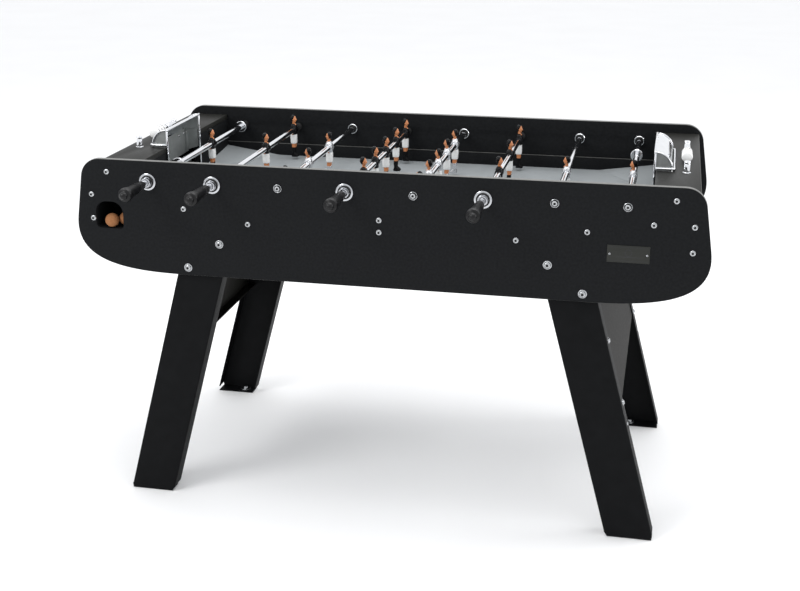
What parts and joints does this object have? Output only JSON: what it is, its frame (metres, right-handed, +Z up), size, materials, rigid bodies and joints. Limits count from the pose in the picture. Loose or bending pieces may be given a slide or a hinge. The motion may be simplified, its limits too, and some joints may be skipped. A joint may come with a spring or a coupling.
{
  "type": "foosball table",
  "caption": "Football table with rounded black sides, splayed sheet-metal legs, telescopic chrome rods with sculpted players, chrome goals and ball returns.",
  "frame": {"origin": "on the floor under the middle of the table", "axes": "+X along the table towards the right goal as seen from the near side, +Y across towards the far side, +Z up"},
  "size_m": [1.5404, 1.08, 0.925],
  "materials": {
    "laminate": "satin fine-grained black compact laminate",
    "deck": "satin dark grey laminate",
    "field": "satin mid grey laminate",
    "leg_sheet": "fine textured black powder coat",
    "chrome": "polished",
    "black_team": "gloss painted",
    "white_team": "gloss painted",
    "score_white": "gloss",
    "plate": "brushed",
    "cork": "matt cork"
  },
  "bodies": {
    "table": {"side_panel_near": "laminate", "side_panel_far": "laminate", "playfield": "field", "nameplate": "plate", "end_wall_left": "laminate", "end_board_left": "laminate", "deck_left": "deck", "goal_left": "chrome", "cross_panel_left": "leg_sheet", "leg_near_left": "leg_sheet", "leg_far_left": "leg_sheet", "end_wall_right": "laminate", "end_board_right": "laminate", "deck_right": "deck", "goal_right": "chrome", "cross_panel_right": "leg_sheet", "leg_near_right": "leg_sheet", "leg_far_right": "leg_sheet"},
    "inner_rod_1": {"inner_rod_1": "chrome"},
    "rod_1": {"rod_1": "chrome", "player_1_1": "black_team"},
    "inner_rod_2": {"inner_rod_2": "chrome"},
    "rod_2": {"rod_2": "chrome", "player_2_1": "black_team", "player_2_2": "black_team"},
    "inner_rod_3": {"inner_rod_3": "chrome"},
    "rod_3": {"rod_3": "chrome", "player_3_1": "white_team", "player_3_2": "white_team", "player_3_3": "white_team"},
    "inner_rod_4": {"inner_rod_4": "chrome"},
    "rod_4": {"rod_4": "chrome", "player_4_1": "black_team", "player_4_2": "black_team", "player_4_3": "black_team", "player_4_4": "black_team", "player_4_5": "black_team"},
    "inner_rod_5": {"inner_rod_5": "chrome"},
    "rod_5": {"rod_5": "chrome", "player_5_1": "white_team", "player_5_2": "white_team", "player_5_3": "white_team", "player_5_4": "white_team", "player_5_5": "white_team"},
    "inner_rod_6": {"inner_rod_6": "chrome"},
    "rod_6": {"rod_6": "chrome", "player_6_1": "black_team", "player_6_2": "black_team", "player_6_3": "black_team"},
    "inner_rod_7": {"inner_rod_7": "chrome"},
    "rod_7": {"rod_7": "chrome", "player_7_1": "white_team", "player_7_2": "white_team"},
    "inner_rod_8": {"inner_rod_8": "chrome"},
    "rod_8": {"rod_8": "chrome", "player_8_1": "white_team"},
    "score_drum_left": {"score_drum_left": "score_white"},
    "score_drum_right": {"score_drum_right": "score_white"},
    "ball_1": {"ball_1": "cork"},
    "ball_2": {"ball_2": "cork"}
  },
  "joints": [
    {"name": "rod_1_spin", "type": "hinge", "parent": "table", "child": "inner_rod_1", "pos_m": [-0.5775, 0, 0.849], "axis": [0, 1, 0], "continuous": true},
    {"name": "rod_1_slide", "type": "slide", "parent": "inner_rod_1", "child": "rod_1", "axis": [0, 1, 0], "range_m": [-0.166, 0.016]},
    {"name": "rod_2_spin", "type": "hinge", "parent": "table", "child": "inner_rod_2", "pos_m": [-0.4125, 0, 0.849], "axis": [0, 1, 0], "continuous": true},
    {"name": "rod_2_slide", "type": "slide", "parent": "inner_rod_2", "child": "rod_2", "axis": [0, 1, 0], "range_m": [-0.38, 0.02]},
    {"name": "rod_3_spin", "type": "hinge", "parent": "table", "child": "inner_rod_3", "pos_m": [-0.2475, 0, 0.849], "axis": [0, 1, 0], "continuous": true},
    {"name": "rod_3_slide", "type": "slide", "parent": "inner_rod_3", "child": "rod_3", "axis": [0, 1, 0], "range_m": [-0.019, 0.235]},
    {"name": "rod_4_spin", "type": "hinge", "parent": "table", "child": "inner_rod_4", "pos_m": [-0.0825, 0, 0.849], "axis": [0, 1, 0], "continuous": true},
    {"name": "rod_4_slide", "type": "slide", "parent": "inner_rod_4", "child": "rod_4", "axis": [0, 1, 0], "range_m": [-0.148, 0.008]},
    {"name": "rod_5_spin", "type": "hinge", "parent": "table", "child": "inner_rod_5", "pos_m": [0.0825, 0, 0.849], "axis": [0, 1, 0], "continuous": true},
    {"name": "rod_5_slide", "type": "slide", "parent": "inner_rod_5", "child": "rod_5", "axis": [0, 1, 0], "range_m": [-0.028, 0.128]},
    {"name": "rod_6_spin", "type": "hinge", "parent": "table", "child": "inner_rod_6", "pos_m": [0.2475, 0, 0.849], "axis": [0, 1, 0], "continuous": true},
    {"name": "rod_6_slide", "type": "slide", "parent": "inner_rod_6", "child": "rod_6", "axis": [0, 1, 0], "range_m": [-0.226, 0.028]},
    {"name": "rod_7_spin", "type": "hinge", "parent": "table", "child": "inner_rod_7", "pos_m": [0.4125, 0, 0.849], "axis": [0, 1, 0], "continuous": true},
    {"name": "rod_7_slide", "type": "slide", "parent": "inner_rod_7", "child": "rod_7", "axis": [0, 1, 0], "range_m": [-0.002, 0.398]},
    {"name": "rod_8_spin", "type": "hinge", "parent": "table", "child": "inner_rod_8", "pos_m": [0.5775, 0, 0.849], "axis": [0, 1, 0], "continuous": true},
    {"name": "rod_8_slide", "type": "slide", "parent": "inner_rod_8", "child": "rod_8", "axis": [0, 1, 0], "range_m": [-0.016, 0.166]},
    {"name": "score_drum_left_turn", "type": "hinge", "parent": "table", "child": "score_drum_left", "pos_m": [-0.705, 0, 0.893], "axis": [0, 1, 0], "continuous": true},
    {"name": "score_drum_right_turn", "type": "hinge", "parent": "table", "child": "score_drum_right", "pos_m": [0.705, 0, 0.893], "axis": [0, 1, 0], "continuous": true},
    {"name": "ball_1_out", "type": "slide", "parent": "table", "child": "ball_1", "axis": [0, -1, 0], "range_m": [0, 0.06]},
    {"name": "ball_2_roll", "type": "slide", "parent": "table", "child": "ball_2", "axis": [-0.13, 0.9911, 0.0275], "range_m": [0, 0.11]}
  ]
}
